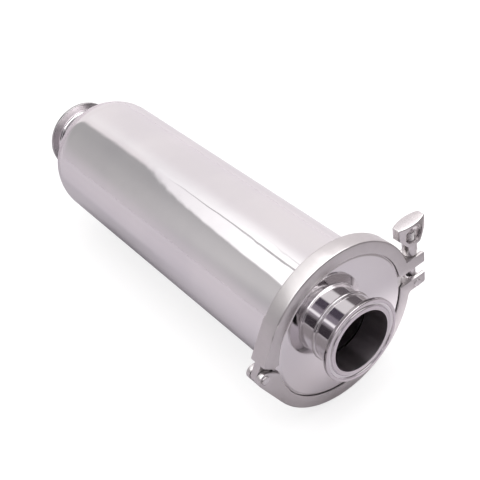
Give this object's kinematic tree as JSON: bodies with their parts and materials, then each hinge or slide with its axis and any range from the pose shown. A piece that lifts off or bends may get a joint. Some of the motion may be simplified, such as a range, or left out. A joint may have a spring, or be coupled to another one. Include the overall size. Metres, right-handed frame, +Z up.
{
  "type": "inline strainer",
  "caption": "Straight inline strainer: polished tubular housing with a dished inlet end, a clamped cap with the outlet, and a perforated screen inside.",
  "frame": {"origin": "centre of the outlet ferrule's face, on the pipe axis", "axes": "+X out of the outlet along the pipe axis, +Y towards the clamp's bolt and wing nut, +Z up along the closed bolt"},
  "size_m": [0.367, 0.158, 0.13],
  "materials": {
    "body_polish": "mirror polished stainless steel",
    "cap_polish": "finely polished stainless steel",
    "cast_steel": "satin cast stainless steel",
    "turned_steel": "turned stainless steel",
    "inner_steel": "satin stainless steel",
    "wire_cloth": "woven stainless wire",
    "seal_rubber": "white silicone rubber"
  },
  "bodies": {
    "housing": {"outlet_ferrule": "body_polish", "body_ferrule": "body_polish", "body_tube": "body_polish", "dished_end": "body_polish", "inlet_ferrule": "body_polish", "cap_plate": "cap_polish", "clamp_lower_half": "cast_steel", "hinge_pin": "turned_steel", "bolt_pin": "turned_steel", "outlet_spigot": "inner_steel", "strainer_collar": "inner_steel", "strainer_tube": "inner_steel", "mesh_band_front": "inner_steel", "mesh_band_rear": "inner_steel", "strainer_end_cap": "inner_steel", "mesh_sleeve": "wire_cloth", "cap_gasket": "seal_rubber", "collar_o_ring": "seal_rubber"},
    "clamp_upper": {"clamp_upper_half": "cast_steel"},
    "bolt": {"swing_bolt": "turned_steel"},
    "nut": {"wing_nut": "cast_steel"}
  },
  "joints": [
    {"name": "clamp_hinge", "type": "hinge", "parent": "housing", "child": "clamp_upper", "pos_m": [-0.0255, -0.0679, 0.0014], "axis": [1, 0, 0], "range_deg": [0, 5]},
    {"name": "bolt_swing", "type": "hinge", "parent": "housing", "child": "bolt", "pos_m": [-0.0255, 0.072, -0.0094], "axis": [-1, 0, 0], "range_deg": [0, 60]},
    {"name": "nut_travel", "type": "slide", "parent": "bolt", "child": "nut", "axis": [0, 0, 1], "range_m": [0, 0.0172]}
  ],
  "couplings": [
    {"joint": "bolt_swing", "follows": "clamp_hinge", "ratio": 12},
    {"joint": "nut_travel", "follows": "clamp_hinge", "m_per_rad": 0.197}
  ]
}
